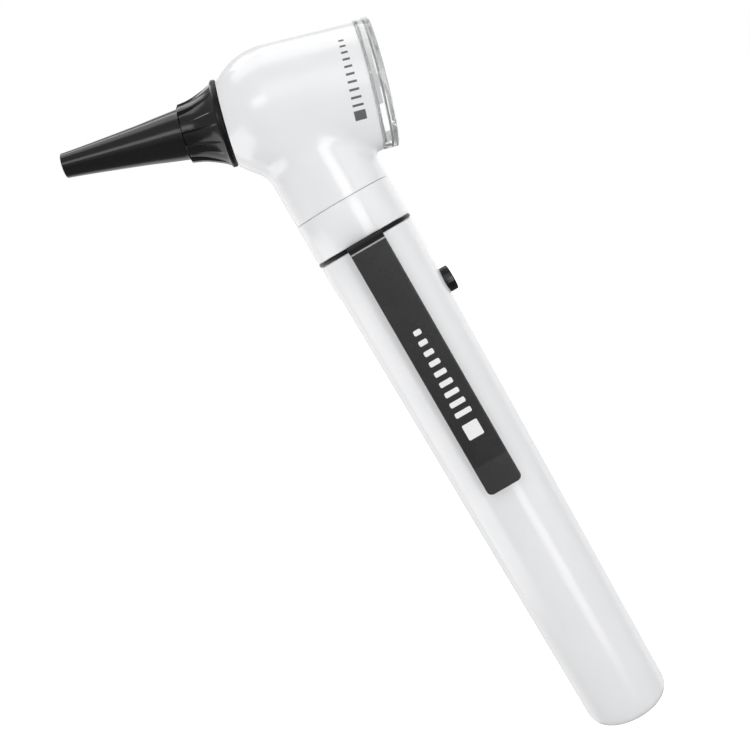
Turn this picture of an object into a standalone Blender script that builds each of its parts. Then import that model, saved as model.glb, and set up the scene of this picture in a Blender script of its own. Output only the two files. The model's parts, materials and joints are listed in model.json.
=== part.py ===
"""Pocket otoscope: battery handle, pocket clip, slide switch, bayonet head, swivel lens, speculum.

The handle stands along +Z with its origin at the middle of its closed end. The optical axis
crosses the handle's axis in the XZ plane: the speculum points to -X and up, the lens faces +X.
The pocket clip is on -Y and the switch on +X. All sizes below are in millimetres.
"""
import math

import bmesh
import bpy
from mathutils import Matrix, Vector

MM = 0.001
GAP = 0.3                       # clearance between neighbouring pieces

# Handle tube, from its closed end (Z = 0) to its open end
TUBE_TOP_Z = 115.45
TUBE_TOP_R = 10.5
TUBE_END_R = 9.1
TUBE_END_ROUND = 3.0            # radius round the closed end
TUBE_FLOOR = 2.5
TUBE_BORE_R = 7.65
TUBE_MOUTH_R = 8.9              # wider bore that takes the collar's spigot
TUBE_MOUTH_Z = 109.5

# Cells and the parts that touch them
CELL_R = 7.25
CELL_LENGTH = 50.5
CELL_NUB_R = 2.75
CELL_NUB_LENGTH = 1.0
STRIP_X = 7.85                  # outer face of the ground strip, which lies in a groove of the tube
STRIP_HALF_WIDTH = 1.5
STRIP_THICK = 0.3
SPRING_WIRE_R = 0.4
SPRING_HEIGHT = 5.0
RIVET_R = 1.5
RIVET_HEAD = 0.8                # thickness of each of the rivet's two heads
RIVET_HEIGHT = 8.0
CONTACT_WIRE_R = 0.25
CONTACT_RISE = 1.0

# Clip ring and collar
RING_R = 10.7
RING_THICK = 0.8
RING_Z = TUBE_TOP_Z + GAP
COLLAR_R = 10.6
COLLAR_Z = RING_Z + RING_THICK + GAP
COLLAR_TOP_Z = 124.95
COLLAR_BORE_R = 4.5
SPIGOT_R = 8.6                  # goes down into the tube's mouth
SPIGOT_Z = 110.1
POST_R = 7.0                    # goes up into the head's sleeve
POST_TOP_Z = COLLAR_TOP_Z + 5.1
SEAL_GROOVE_Z = 113.2
SEAL_WIRE_R = 0.55

# Bayonet between collar and head
PIN_R = 0.9
PIN_Z = COLLAR_TOP_Z + 3.0
BAYONET_TURN = 35.0             # degrees from locked to free

# Pocket clip
CLIP_WIDTH = 7.75
CLIP_X = -0.4                   # the strap's middle, a little off the handle's middle
CLIP_THICK = 0.9
CLIP_BEND_R = 0.9
CLIP_ROOT_Y = -12.1
CLIP_LEAN = 0.5                 # how far the strap leans in over its length
CLIP_FLARE = 0.7                # how far the toe turns out again
CLIP_KNEE_Z = 65.8
CLIP_END_Z = 59.55
CLIP_CORNER_R = 1.1

# Slide switch on +X
SWITCH_Z = 100.65
SWITCH_TRAVEL = 4.0
KNOB_R = 2.75
KNOB_FACE_X = 12.1
KNOB_BASE_X = 10.65
KNOB_BORE_R = 1.9
SLIDER_X = (8.7, 9.2)           # inner and outer face of the plate behind the knob
SLIDER_HALF = (2.6, 4.0)        # its half width and half height
STEM_HALF = (1.0, 1.2)
LEAF_X = (8.15, 8.4)            # brass leaf inside the plate
LEAF_HALF = (2.0, 3.8)

# Lamp
LAMP_CONTACT_HEIGHT = 1.3
LAMP_BASE_R = 2.9
LAMP_BASE_HEIGHT = 5.6
LAMP_GLASS_R = 2.4
SOCKET_R = 3.9
SOCKET_BORE_R = 3.2
SOCKET_DEPTH = 8.3
SOCKET_FLANGE = 1.1

# Instrument head: local +Z is the optical axis, forward, from where it crosses the handle's axis
AXIS_Z = 147.3
AXIS_TILT = math.radians(15.3)
NECK_R = 10.6
NECK_Z = COLLAR_TOP_Z + GAP
NECK_BORE_R = 9.0
NECK_BORE_TOP_Z = 132.0
BARREL_FRONT = 12.65
BARREL_REAR = -16.7
BARREL_NOSE_R = 8.95
BARREL_R = 13.35
BARREL_REAR_R = 13.1
SHOULDER_LENGTH = 11.3
SHOULDER_POWER = 2.4
CAVITY_R = 11.5
NOSE_HOLE_R = 5.1
NOSE_WALL = 2.2                 # thickness of the barrel's front wall
NOSE_CONE_LENGTH = 15.8         # how far the cone stands out of the barrel
VIEW_SLEEVE = (1.2, 0.8)        # its set-back from the barrel's rear face, and its wall
VIEW_SLEEVE_END = -6.2
FIBRE_R = 1.1
AIR_PORT = 4.0                  # place of the air connector along the axis
AIR_BORE_R = 0.8
AIR_PIPE_R = 1.5

# Swivel lens
LENS_THICK = 3.0
LENS_FIELD_R = 8.6
PIVOT_OFFSET = 10.9            # pivot above the optical axis
PIVOT_R = 0.9
BOSS_R = 2.1                    # boss inside the barrel that holds the pivot pin
LATCH_OFFSET = -10.4
LATCH_R = 0.5
PIVOT_HEAD_R = 1.6
PIVOT_HEAD_DEPTH = 1.0
PIVOT_PIN_TOP = -11.3

# Speculum
SPECULUM_REAR = BARREL_FRONT + GAP
SPECULUM_TIP = 47.05
SPECULUM_RIM_R = 8.9
SPECULUM_TIP_R = 2.55
SPECULUM_SLIM = 25.4            # length of the slim front part

FINE = 40                       # steps round large pieces
MEDIUM = 28
SMALL = 16


def clear_scene():
    for item in list(bpy.data.objects):
        bpy.data.objects.remove(item, do_unlink=True)


def material(name, colour, roughness, metallic=0.0, transmission=0.0):
    """A plain Principled material."""
    made = bpy.data.materials.new(name)
    made.use_nodes = True
    shader = made.node_tree.nodes["Principled BSDF"]
    shader.inputs["Base Color"].default_value = (*colour, 1.0)
    shader.inputs["Roughness"].default_value = roughness
    shader.inputs["Metallic"].default_value = metallic
    shader.inputs["Transmission Weight"].default_value = transmission
    return made


def arc(centre, radius, start, end, steps):
    """Points on a circle's arc, in degrees, both ends included."""
    angles = [math.radians(start + (end - start) * i / steps) for i in range(steps + 1)]
    return [(centre[0] + radius * math.cos(a), centre[1] + radius * math.sin(a)) for a in angles]


def finish(bm, name, look, parent=None, place=(0, 0, 0), smooth=True):
    """Turn a bmesh, in millimetres, into a named object."""
    bmesh.ops.recalc_face_normals(bm, faces=bm.faces)
    bmesh.ops.scale(bm, vec=(MM, MM, MM), verts=bm.verts)
    mesh = bpy.data.meshes.new(name)
    bm.to_mesh(mesh)
    bm.free()
    if smooth:
        mesh.shade_smooth()
        mesh.set_sharp_from_angle(angle=math.radians(35))
    made = bpy.data.objects.new(name, mesh)
    bpy.context.collection.objects.link(made)
    made.parent = parent
    made.location = Vector(place) * MM
    if look:
        mesh.materials.append(look)
    return made


def turned_bmesh(outline, steps, turn=360.0):
    """Spin an outline of (radius, height) points about Z. It is closed, or starts and ends on Z."""
    bm = bmesh.new()
    corners = [bm.verts.new((r, 0.0, z)) for r, z in outline]
    edges = [bm.edges.new(pair) for pair in zip(corners, corners[1:])]
    if outline[0][0] > 0:
        edges.append(bm.edges.new((corners[-1], corners[0])))
    full = turn == 360.0
    if not full:
        bm.faces.new(corners)
    made = bmesh.ops.spin(bm, geom=corners + edges, cent=(0, 0, 0), axis=(0, 0, 1),
                          angle=math.radians(turn), steps=steps, use_merge=full)
    if not full:
        last = [v for v in made["geom_last"] if isinstance(v, bmesh.types.BMVert)]
        bmesh.ops.contextual_create(bm, geom=last)
    bmesh.ops.remove_doubles(bm, verts=bm.verts, dist=1e-4)
    return bm


def turned(name, outline, look, steps=MEDIUM, parent=None, place=(0, 0, 0)):
    return finish(turned_bmesh(outline, steps), name, look, parent, place)


def box_bmesh(low, high):
    bm = bmesh.new()
    size = [h - l for l, h in zip(low, high)]
    middle = [(h + l) / 2 for l, h in zip(low, high)]
    bmesh.ops.create_cube(bm, size=1.0, matrix=Matrix.Translation(middle) @ Matrix.Diagonal((*size, 1.0)))
    return bm


def rod_bmesh(radius, start, end, steps=SMALL):
    """A plain cylinder between two points."""
    start, end = Vector(start), Vector(end)
    along = end - start
    spin = along.to_track_quat("Z", "Y").to_matrix().to_4x4()
    bm = bmesh.new()
    bmesh.ops.create_cone(bm, cap_ends=True, segments=steps, radius1=radius, radius2=radius,
                          depth=along.length, matrix=Matrix.Translation((start + end) / 2) @ spin)
    return bm


def combine(target, bm, operation, parent=None, place=(0, 0, 0)):
    """Cut a bmesh from an object, or join it on, with a hidden helper object."""
    helper = finish(bm, target.name + "_helper", None, parent, place, smooth=False)
    helper.hide_render = True
    helper.display_type = "WIRE"
    step = target.modifiers.new(operation.lower(), "BOOLEAN")
    step.operation = operation
    step.solver = "EXACT"
    step.object = helper


def cut(target, bm, parent=None, place=(0, 0, 0)):
    combine(target, bm, "DIFFERENCE", parent, place)


def join(target, bm, parent=None, place=(0, 0, 0)):
    combine(target, bm, "UNION", parent, place)


def wire(name, points, radius, look, parent=None, place=(0, 0, 0), sides=1):
    """A round wire along points, as a curve with filled ends."""
    curve = bpy.data.curves.new(name, "CURVE")
    curve.dimensions = "3D"
    curve.bevel_depth = radius * MM
    curve.bevel_resolution = sides
    curve.use_fill_caps = True
    line = curve.splines.new("POLY")
    line.points.add(len(points) - 1)
    for spot, point in zip(line.points, points):
        spot.co = (*(Vector(point) * MM), 1.0)
    line.use_smooth = True
    made = bpy.data.objects.new(name, curve)
    bpy.context.collection.objects.link(made)
    made.parent = parent
    made.location = Vector(place) * MM
    curve.materials.append(look)
    return made


def coil_points(low_r, high_r, height, turns, per_turn=12):
    """A helix whose radius goes from low_r to high_r as it climbs."""
    count = int(turns * per_turn)
    points = []
    for i in range(count + 1):
        share = i / count
        angle = 2 * math.pi * turns * share
        radius = low_r + (high_r - low_r) * share
        points.append((radius * math.cos(angle), radius * math.sin(angle), height * share))
    return points


def empty(name, place, parent=None, tilt=0.0):
    made = bpy.data.objects.new(name, None)
    bpy.context.collection.objects.link(made)
    made.parent = parent
    made.location = Vector(place) * MM
    made.rotation_euler = (0.0, tilt, 0.0)
    return made


def tube_radius(z):
    """Outer radius of the tapered tube."""
    share = (z - TUBE_END_ROUND) / (TUBE_TOP_Z - TUBE_END_ROUND)
    return TUBE_END_R + (TUBE_TOP_R - TUBE_END_R) * share


def barrel_radius(back):
    """Outer radius of the head's barrel at a distance behind its front face."""
    if back < SHOULDER_LENGTH:
        rise = 1 - (1 - back / SHOULDER_LENGTH) ** SHOULDER_POWER
        return BARREL_NOSE_R + (BARREL_R - BARREL_NOSE_R) * rise
    share = (back - SHOULDER_LENGTH) / (BARREL_FRONT - BARREL_REAR - SHOULDER_LENGTH)
    return BARREL_R + (BARREL_REAR_R - BARREL_R) * share


def make_tube(look):
    end_round = arc((TUBE_END_R - TUBE_END_ROUND, TUBE_END_ROUND), TUBE_END_ROUND, -90, 0, 6)
    outline = [(0, 0)] + end_round + [
        (tube_radius(60), 60),
        (TUBE_TOP_R, TUBE_TOP_Z - 0.3),
        (TUBE_TOP_R - 0.3, TUBE_TOP_Z),
        (TUBE_MOUTH_R, TUBE_TOP_Z),
        (TUBE_MOUTH_R, TUBE_MOUTH_Z),
        (TUBE_BORE_R, TUBE_MOUTH_Z),
        (TUBE_BORE_R, TUBE_FLOOR),
        (0, TUBE_FLOOR),
    ]
    tube = turned("handle_tube", outline, look, FINE)
    inside = TUBE_BORE_R - 1.0
    groove_half = STRIP_HALF_WIDTH + GAP
    groove_x = STRIP_X + GAP
    groove_top = TUBE_MOUTH_Z - 1.0
    cut(tube, box_bmesh((inside, -groove_half, TUBE_FLOOR + 0.02), (groove_x, groove_half, groove_top)))
    room_half = SLIDER_HALF[0] + 2 * GAP
    room_low = SWITCH_Z - SLIDER_HALF[1] - GAP
    room_high = SWITCH_Z + SWITCH_TRAVEL + SLIDER_HALF[1] + GAP
    room_x = SLIDER_X[1] + GAP
    cut(tube, box_bmesh((inside, -room_half, room_low), (room_x, room_half, room_high)))
    slot_half = STEM_HALF[0] + GAP
    slot_low = SWITCH_Z - STEM_HALF[1] - GAP
    slot_high = SWITCH_Z + SWITCH_TRAVEL + STEM_HALF[1] + GAP
    cut(tube, box_bmesh((room_x - 0.5, -slot_half, slot_low), (KNOB_FACE_X, slot_half, slot_high)))


def make_cells(steel, brass_look, jacket_look):
    strip_foot_top = TUBE_FLOOR + GAP + STRIP_THICK
    half = STRIP_HALF_WIDTH
    foot = box_bmesh((-4.0, -half, TUBE_FLOOR + GAP), (STRIP_X, half, strip_foot_top))
    strip = finish(foot, "ground_strip", brass_look, smooth=False)
    inner_x = STRIP_X - STRIP_THICK
    join(strip, box_bmesh((inner_x, -half, TUBE_FLOOR + GAP + 0.05), (STRIP_X, half, SWITCH_Z + 3.6)))
    spring_z = strip_foot_top + GAP + SPRING_WIRE_R
    rise = SPRING_HEIGHT - 2 * SPRING_WIRE_R
    wire("battery_spring", coil_points(6.2, 3.4, rise, 4), SPRING_WIRE_R, steel, place=(0, 0, spring_z))
    cell_z = spring_z + rise + SPRING_WIRE_R + GAP
    shoulder = CELL_LENGTH - CELL_NUB_LENGTH
    outline = [(0, 0), (CELL_R - 0.5, 0), (CELL_R, 0.5), (CELL_R, shoulder - 0.5), (CELL_R - 0.5, shoulder),
               (CELL_NUB_R, shoulder), (CELL_NUB_R, CELL_LENGTH), (0, CELL_LENGTH)]
    turned("battery_lower", outline, jacket_look, place=(0, 0, cell_z))
    upper_z = cell_z + CELL_LENGTH + GAP
    turned("battery_upper", outline, jacket_look, place=(0, 0, upper_z))
    return upper_z + CELL_LENGTH


def make_contacts(cells_top, brass_look, insulator_look, steel):
    """Rivet through an insulating bush in the collar, with a spring that meets the lamp."""
    low = cells_top + GAP
    shank_low = low + RIVET_HEAD
    shank_high = low + RIVET_HEIGHT - RIVET_HEAD
    high = low + RIVET_HEIGHT
    low_head_r, high_head_r = 2 * RIVET_R, 1.6 * RIVET_R
    rivet = [(0, low), (low_head_r, low), (low_head_r, shank_low), (RIVET_R, shank_low),
             (RIVET_R, shank_high), (high_head_r, shank_high), (high_head_r, high), (0, high)]
    turned("contact_rivet", rivet, brass_look, SMALL)
    bush_low = shank_low + GAP
    bush_high = shank_high - GAP
    bush_r = COLLAR_BORE_R - GAP
    bush_bore = RIVET_R + GAP
    bush = [(bush_bore, bush_low), (bush_r, bush_low), (bush_r, bush_high), (bush_bore, bush_high)]
    turned("collar_insulator", bush, insulator_look, SMALL)
    spring_z = high + GAP + CONTACT_WIRE_R
    coil = coil_points(2.2, 1.3, CONTACT_RISE, 2)
    wire("contact_spring", coil, CONTACT_WIRE_R, steel, place=(0, 0, spring_z))
    return spring_z + CONTACT_RISE + CONTACT_WIRE_R


def make_collar(look, steel, rubber_look):
    groove_low = SEAL_GROOVE_Z - SEAL_WIRE_R - GAP
    groove_high = SEAL_GROOVE_Z + SEAL_WIRE_R + GAP
    groove_r = SPIGOT_R - 1.3
    outline = [
        (COLLAR_BORE_R, SPIGOT_Z), (SPIGOT_R, SPIGOT_Z),
        (SPIGOT_R, groove_low), (groove_r, groove_low), (groove_r, groove_high), (SPIGOT_R, groove_high),
        (SPIGOT_R, COLLAR_Z), (COLLAR_R - 0.2, COLLAR_Z), (COLLAR_R, COLLAR_Z + 0.2),
        (COLLAR_R, COLLAR_TOP_Z - 0.2), (COLLAR_R - 0.2, COLLAR_TOP_Z), (POST_R, COLLAR_TOP_Z),
        (POST_R, POST_TOP_Z - 0.3), (POST_R - 0.3, POST_TOP_Z), (COLLAR_BORE_R, POST_TOP_Z),
    ]
    collar = turned("collar", outline, look, FINE)
    seal_r = groove_r + GAP + SEAL_WIRE_R
    seal = arc((seal_r, SEAL_GROOVE_Z), SEAL_WIRE_R, 0, 315, 7)
    turned("seal_ring", seal, rubber_look, MEDIUM)
    for side, name in ((-1, "bayonet_pin_near"), (1, "bayonet_pin_far")):
        inner, outer = side * (COLLAR_BORE_R + 0.5), side * (POST_R + 1.6)
        hole = rod_bmesh(PIN_R + GAP, (0, side * 3.0, PIN_Z), (0, side * 9.0, PIN_Z), SMALL)
        cut(collar, hole)
        finish(rod_bmesh(PIN_R, (0, inner, PIN_Z), (0, outer, PIN_Z), 16), name, steel)


def make_clip(ring_look, arm_look):
    outline = [(TUBE_MOUTH_R, RING_Z), (RING_R, RING_Z), (RING_R, RING_Z + RING_THICK),
               (TUBE_MOUTH_R, RING_Z + RING_THICK)]
    ring = turned("clip_ring", outline, ring_look, FINE)
    half = CLIP_WIDTH / 2
    tab = box_bmesh((CLIP_X - half, CLIP_ROOT_Y + GAP, RING_Z + 0.05),
                    (CLIP_X + half, -9.8, RING_Z + RING_THICK - 0.05))
    join(ring, tab)

    hinge = (CLIP_X, CLIP_ROOT_Y + GAP / 2, RING_Z + RING_THICK / 2)
    pivot = empty("clip_hinge", hinge)
    root = (CLIP_ROOT_Y, hinge[2])
    strap_y = CLIP_ROOT_Y - CLIP_BEND_R
    middle = arc((root[0], root[1] - CLIP_BEND_R), CLIP_BEND_R, 90, 180, 5)
    middle.append((strap_y + CLIP_LEAN, CLIP_KNEE_Z))
    middle.append((strap_y + CLIP_LEAN - CLIP_FLARE, CLIP_END_Z))
    outer, inner = [], []
    for i, here in enumerate(middle):
        before = Vector(middle[max(i - 1, 0)])
        after = Vector(middle[min(i + 1, len(middle) - 1)])
        along = (after - before).normalized()
        if i == 0:
            along = Vector((-1.0, 0.0))
        across = Vector((along.y, -along.x)) * CLIP_THICK / 2
        outer.append(Vector(here) - across)
        inner.append(Vector(here) + across)
    bm = bmesh.new()
    edge = [bm.verts.new((-half, p.x - hinge[1], p.y - hinge[2])) for p in outer + inner[::-1]]
    face = bm.faces.new(edge)
    grown = bmesh.ops.extrude_face_region(bm, geom=[face])
    moved = [v for v in grown["geom"] if isinstance(v, bmesh.types.BMVert)]
    bmesh.ops.translate(bm, vec=(CLIP_WIDTH, 0, 0), verts=moved)
    lowest = min(v.co.z for v in bm.verts)
    corners = []
    for e in bm.edges:
        first, second = e.verts
        at_end = max(first.co.z, second.co.z) < lowest + 0.6
        if at_end and abs(first.co.x - second.co.x) < 0.01:
            corners.append(e)
    bmesh.ops.bevel(bm, geom=corners, offset=CLIP_CORNER_R, segments=4, profile=0.5, affect="EDGES")
    finish(bm, "clip_arm", arm_look, pivot)


def make_switch(knob_look, slider_look, leaf_look):
    home = empty("switch_home", (0, 0, SWITCH_Z))
    knob = [(0, KNOB_FACE_X), (1.6, KNOB_FACE_X - 0.06), (KNOB_R - 0.3, KNOB_FACE_X - 0.2),
            (KNOB_R, KNOB_FACE_X - 0.5), (KNOB_R, KNOB_BASE_X), (KNOB_BORE_R, KNOB_BASE_X),
            (KNOB_BORE_R, KNOB_FACE_X - 0.5), (0, KNOB_FACE_X - 0.5)]
    made = turned("switch_knob", knob, knob_look, MEDIUM, home)
    made.rotation_euler = (0.0, math.pi / 2, 0.0)
    wide, tall = SLIDER_HALF
    plate = box_bmesh((SLIDER_X[0], -wide, -tall), (SLIDER_X[1], wide, tall))
    slider = finish(plate, "switch_slider", slider_look, home, smooth=False)
    wide, tall = STEM_HALF
    join(slider, box_bmesh((SLIDER_X[0] + 0.25, -wide, -tall), (KNOB_FACE_X - 0.8, wide, tall)), home)
    wide, tall = LEAF_HALF
    leaf = box_bmesh((LEAF_X[0], -wide, -tall), (LEAF_X[1], wide, tall))
    finish(leaf, "switch_contact", leaf_look, home, smooth=False)


def make_head(looks):
    head = empty("head_turn", (0, 0, 0))
    optic = empty("optical_axis", (0, 0, AXIS_Z), head, AXIS_TILT - math.pi / 2)
    steps = 9
    shoulder = []
    for i in range(steps + 1):
        back = SHOULDER_LENGTH * (i / steps) ** 1.5
        shoulder.append((barrel_radius(back), BARREL_FRONT - back))
    outline = [(0, BARREL_FRONT)] + shoulder + [
        (BARREL_REAR_R, BARREL_REAR + 0.2), (BARREL_REAR_R - 0.2, BARREL_REAR), (0, BARREL_REAR)]
    shell = turned("head_shell", outline, looks["white"], FINE, optic)

    neck = turned_bmesh([(0, NECK_Z), (NECK_R - 0.2, NECK_Z), (NECK_R, NECK_Z + 0.2), (NECK_R, AXIS_Z - 2),
                         (0, AXIS_Z - 2)], FINE)
    join(shell, neck, head)
    cavity = turned_bmesh([(0, BARREL_REAR - 1), (CAVITY_R, BARREL_REAR - 1), (CAVITY_R, 3.0),
                           (7.4, BARREL_FRONT - NOSE_WALL), (NOSE_HOLE_R, BARREL_FRONT - NOSE_WALL),
                           (NOSE_HOLE_R, BARREL_FRONT + 1), (0, BARREL_FRONT + 1)], FINE)
    cut(shell, cavity, optic)
    neck_bore = turned_bmesh([(0, NECK_Z - 1), (NECK_BORE_R, NECK_Z - 1), (NECK_BORE_R, NECK_BORE_TOP_Z),
                              (0, NECK_BORE_TOP_Z)], MEDIUM)
    cut(shell, neck_bore, head)
    cut(shell, rod_bmesh(2.0, (0, 0, NECK_BORE_TOP_Z - 1), (0, 0, NECK_BORE_TOP_Z + 6), SMALL), head)

    pivot = (PIVOT_OFFSET, 0)
    boss = rod_bmesh(BOSS_R, (*pivot, BARREL_REAR + 0.02), (*pivot, -7.0), MEDIUM)
    join(shell, boss, optic)
    cut(shell, rod_bmesh(PIVOT_R + GAP, (*pivot, BARREL_REAR - 1), (*pivot, -11.0), SMALL), optic)
    cut(shell, rod_bmesh(AIR_PIPE_R + GAP, (0, 10.0, AIR_PORT), (0, 16.0, AIR_PORT), SMALL), optic)
    return head, optic


def make_head_inside(head, optic, lamp_low, looks):
    """Metal sleeve, lamp, fibres, nose cone, viewing sleeve and air connector."""
    sleeve_low, sleeve_high = NECK_Z + GAP, NECK_Z + 5.1
    sleeve_r = NECK_BORE_R - GAP
    sleeve_inner = POST_R + GAP
    outline = [(sleeve_inner, sleeve_low), (sleeve_r, sleeve_low), (sleeve_r, sleeve_high),
               (sleeve_inner, sleeve_high)]
    sleeve = turned("bayonet_sleeve", outline, looks["steel"], FINE, head)
    reach = PIN_R + GAP
    margin = math.degrees(reach / POST_R)
    for side in (-90.0, 90.0):
        sweep = turned_bmesh([(POST_R - 0.5, PIN_Z - reach), (NECK_BORE_R + 1, PIN_Z - reach),
                              (NECK_BORE_R + 1, PIN_Z + reach), (POST_R - 0.5, PIN_Z + reach)],
                             12, BAYONET_TURN + 2 * margin)
        start = math.radians(side - BAYONET_TURN - margin)
        bmesh.ops.rotate(sweep, cent=(0, 0, 0), matrix=Matrix.Rotation(start, 3, "Z"), verts=sweep.verts)
        cut(sleeve, sweep, head)
        entry = box_bmesh((POST_R - 1.5, -reach, sleeve_low - 1), (NECK_BORE_R + 1.5, reach, PIN_Z))
        away = math.radians(side - BAYONET_TURN)
        bmesh.ops.rotate(entry, cent=(0, 0, 0), matrix=Matrix.Rotation(away, 3, "Z"), verts=entry.verts)
        cut(sleeve, entry, head)

    flange_high = NECK_BORE_TOP_Z - GAP
    flange_low = flange_high - SOCKET_FLANGE
    socket_low = flange_low - SOCKET_DEPTH
    socket = [(SOCKET_BORE_R, socket_low), (SOCKET_R, socket_low), (SOCKET_R, flange_low),
              (sleeve_r, flange_low), (sleeve_r, flange_high), (SOCKET_BORE_R, flange_high)]
    turned("lamp_socket", socket, looks["brass"], MEDIUM, head)
    contact_high = lamp_low + LAMP_CONTACT_HEIGHT
    contact = [(0, lamp_low), (1.1, lamp_low), (1.1, lamp_low + 0.6), (2.3, lamp_low + 0.9),
               (2.3, contact_high), (0, contact_high)]
    turned("lamp_contact", contact, looks["dark"], SMALL, head)
    base_low = contact_high + GAP
    base_high = base_low + LAMP_BASE_HEIGHT
    base = [(0, base_low), (LAMP_BASE_R - 0.5, base_low), (LAMP_BASE_R, base_low + 0.5),
            (LAMP_BASE_R, base_high), (0, base_high)]
    turned("lamp_base", base, looks["steel"], SMALL, head)
    glass_low = base_high + GAP
    dome = arc((0, glass_low + 1.0), LAMP_GLASS_R, 0, 90, 5)
    turned("lamp_glass", [(0, glass_low), (LAMP_GLASS_R, glass_low)] + dome, looks["glass"], SMALL, head)

    seat, cone_tip = BARREL_FRONT - NOSE_WALL - GAP, BARREL_FRONT + NOSE_CONE_LENGTH
    cone = [(7.0, seat - 0.9), (7.0, seat), (NOSE_HOLE_R - GAP, seat), (NOSE_HOLE_R - GAP, SPECULUM_REAR),
            (3.05, cone_tip), (2.3, cone_tip), (4.0, seat - 0.9)]
    turned("nose_cone", cone, looks["black"], MEDIUM, optic)
    ring = [(2.3, cone_tip + GAP), (3.0, cone_tip + GAP), (2.95, cone_tip + 1.1), (2.3, cone_tip + 1.1)]
    turned("light_ring", ring, looks["fibre"], MEDIUM, optic)

    to_world = Matrix.Translation((0, 0, AXIS_Z)) @ Matrix.Rotation(AXIS_TILT - math.pi / 2, 4, "Y")
    goal = to_world @ Vector((-5.8, 0, seat - 1.3))
    leaving = to_world.to_3x3() @ Vector((0, 0, 1))
    start, rising = Vector((0, 0, NECK_BORE_TOP_Z + GAP)), Vector((0, 0, 1))
    points = []
    for i in range(13):
        t = i / 12
        curve_in = start + rising * 9.0 * t
        curve_out = goal - leaving * 9.0 * (1 - t)
        blend = t * t * (3 - 2 * t)
        points.append(curve_in.lerp(curve_out, blend))
    wire("fibre_bundle", points, FIBRE_R, looks["fibre"], head, sides=2)

    outer_r = CAVITY_R - GAP
    inner_r = outer_r - VIEW_SLEEVE[1]
    rear = BARREL_REAR + VIEW_SLEEVE[0]
    view = [(inner_r, rear), (outer_r, rear), (outer_r, VIEW_SLEEVE_END), (inner_r, VIEW_SLEEVE_END)]
    sleeve = turned("viewing_sleeve", view, looks["dark"], FINE, optic)
    cut(sleeve, rod_bmesh(BOSS_R + GAP, (PIVOT_OFFSET, 0, -18), (PIVOT_OFFSET, 0, -5), MEDIUM), optic)

    port = [(AIR_BORE_R, 0), (AIR_PIPE_R, 0), (AIR_PIPE_R, 2.4), (2.4, 2.4), (2.4, 3.0), (AIR_PIPE_R, 3.0),
            (AIR_PIPE_R, 4.0), (1.8, 4.3), (1.3, 5.4), (AIR_BORE_R, 5.4)]
    air = turned("air_connector", port, looks["white"], SMALL, optic, (0, BARREL_R - 2.1, AIR_PORT))
    air.rotation_euler = (-math.pi / 2, 0.0, 0.0)


def make_lens(optic, looks):
    """Clear disc with a magnifier in its middle, turning about a pin parallel to the optical axis."""
    front = BARREL_REAR - GAP
    rear = front - LENS_THICK
    swing = empty("lens_pivot", (PIVOT_OFFSET, 0, 0), optic)
    radius = BARREL_REAR_R
    front_lens = [(0, front - 0.3), (LENS_FIELD_R * 0.5, front - 0.45), (LENS_FIELD_R, front - 0.9)]
    rear_lens = [(LENS_FIELD_R, rear + 0.7), (LENS_FIELD_R * 0.7, rear + 0.4),
                 (LENS_FIELD_R * 0.4, rear + 0.2), (0, rear + 0.1)]
    border = [(LENS_FIELD_R + 0.3, front), (radius - 0.2, front), (radius, front - 0.2),
              (radius, rear + 0.25), (radius - 0.25, rear), (LENS_FIELD_R + 0.4, rear)]
    outline = front_lens + border + rear_lens
    lens = turned("lens_window", outline, looks["clear"], FINE, swing, (-PIVOT_OFFSET, 0, 0))
    cut(lens, rod_bmesh(PIVOT_R + GAP, (0, 0, front + 1), (0, 0, rear - 1), SMALL), swing)
    head_low = rear + PIVOT_HEAD_DEPTH
    cut(lens, rod_bmesh(PIVOT_HEAD_R + GAP, (0, 0, head_low + GAP), (0, 0, rear - 1), SMALL), swing)
    pin = [(0, PIVOT_PIN_TOP), (PIVOT_R, PIVOT_PIN_TOP), (PIVOT_R, head_low), (PIVOT_HEAD_R, head_low),
           (PIVOT_HEAD_R, rear + 0.2), (PIVOT_HEAD_R - 0.2, rear + 0.05), (0, rear + 0.05)]
    turned("pivot_pin", pin, looks["steel"], SMALL, optic, (PIVOT_OFFSET, 0, 0))

    down = LATCH_OFFSET - PIVOT_OFFSET
    cut(lens, rod_bmesh(LATCH_R + GAP, (down, 0, front + 1), (down, 0, front - 2.1), 16), swing)
    latch = rod_bmesh(LATCH_R, (down, 0, front - 0.1), (down, 0, front - 1.8), 12)
    finish(latch, "latch_pin", looks["steel"], swing)


def make_speculum(optic, look):
    """Hollow cone: slim in front, then a step and a flared base with a thin rim."""
    slide = empty("speculum_home", (0, 0, SPECULUM_REAR), optic)
    length = SPECULUM_TIP - SPECULUM_REAR
    step = length - SPECULUM_SLIM
    base = [(SPECULUM_RIM_R, 0), (SPECULUM_RIM_R, 0.7), (8.4, 1.3), (7.4, 3.4), (6.6, 5.2),
            (6.2, 6.8), (5.95, step - 0.1), (5.25, step + 0.1)]
    slim = [(5.1, length - 24.4), (4.65, length - 20.7), (4.1, length - 16.4), (3.45, length - 10.2),
            (2.85, length - 4.1), (SPECULUM_TIP_R, length - 0.35), (SPECULUM_TIP_R - 0.25, length)]
    inside = [(2.0, length), (2.15, length - 4.1), (2.65, length - 10.2), (3.35, length - 16.4),
              (4.4, step + 0.5), (5.1, step - 1.0), (5.6, 5.2), (6.4, 3.4), (7.3, 1.0), (7.5, 0)]
    turned("speculum", base + slim + inside, look, FINE, slide)


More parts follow.
